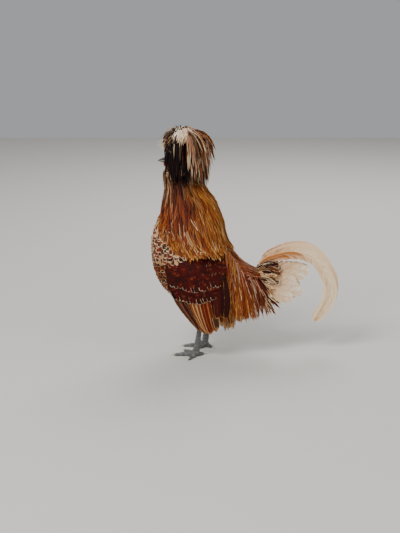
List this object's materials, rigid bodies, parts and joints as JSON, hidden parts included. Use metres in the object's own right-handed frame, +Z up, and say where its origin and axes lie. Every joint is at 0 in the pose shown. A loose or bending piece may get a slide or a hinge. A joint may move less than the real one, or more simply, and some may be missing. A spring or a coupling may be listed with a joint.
{
  "type": "polish crested chicken",
  "caption": "Life-size standing crested cockerel with a full dark crest, golden hackles, a folded wing on each side and long pale sickle feathers; still model with no joints.",
  "frame": {"origin": "on the floor under the soles, below the middle of the whole bird's length and width", "axes": "+X towards the tail, so the bird looks along -X; +Y towards its right side; +Z up"},
  "size_m": [0.3737, 0.1654, 0.4685],
  "materials": {
    "breast_plumage": "satin",
    "saddle_plumage": "satin",
    "hackle_plumage": "satin",
    "wing_plumage": "satin",
    "tail_plumage": "satin",
    "crest_plumage": "satin",
    "thigh_plumage": "satin",
    "face_skin": "matte",
    "comb_skin": "satin",
    "lobe_skin": "matte",
    "beak_horn": "satin",
    "claw_horn": "satin",
    "leg_scales": "matte",
    "eye": "gloss"
  },
  "bodies": {
    "root": {"torso": "breast_plumage", "rump": "saddle_plumage", "neck": "hackle_plumage", "head": "face_skin", "beak_upper": "beak_horn", "beak_lower": "beak_horn", "comb": "comb_skin", "crest": "crest_plumage", "eye_left": "eye", "wattle_left": "comb_skin", "earlobe_left": "lobe_skin", "wing_left": "wing_plumage", "tail_left": "tail_plumage", "sickle_left_1": "tail_plumage", "sickle_left_2": "tail_plumage", "sickle_left_3": "tail_plumage", "thigh_left": "thigh_plumage", "shank_left": "leg_scales", "foot_left": "leg_scales", "spur_left": "claw_horn", "claw_left_middle": "claw_horn", "claw_left_inner": "claw_horn", "claw_left_outer": "claw_horn", "claw_left_rear": "claw_horn", "eye_right": "eye", "wattle_right": "comb_skin", "earlobe_right": "lobe_skin", "wing_right": "wing_plumage", "tail_right": "tail_plumage", "sickle_right_1": "tail_plumage", "sickle_right_2": "tail_plumage", "sickle_right_3": "tail_plumage", "thigh_right": "thigh_plumage", "shank_right": "leg_scales", "foot_right": "leg_scales", "spur_right": "claw_horn", "claw_right_middle": "claw_horn", "claw_right_inner": "claw_horn", "claw_right_outer": "claw_horn", "claw_right_rear": "claw_horn"}
  },
  "joints": []
}
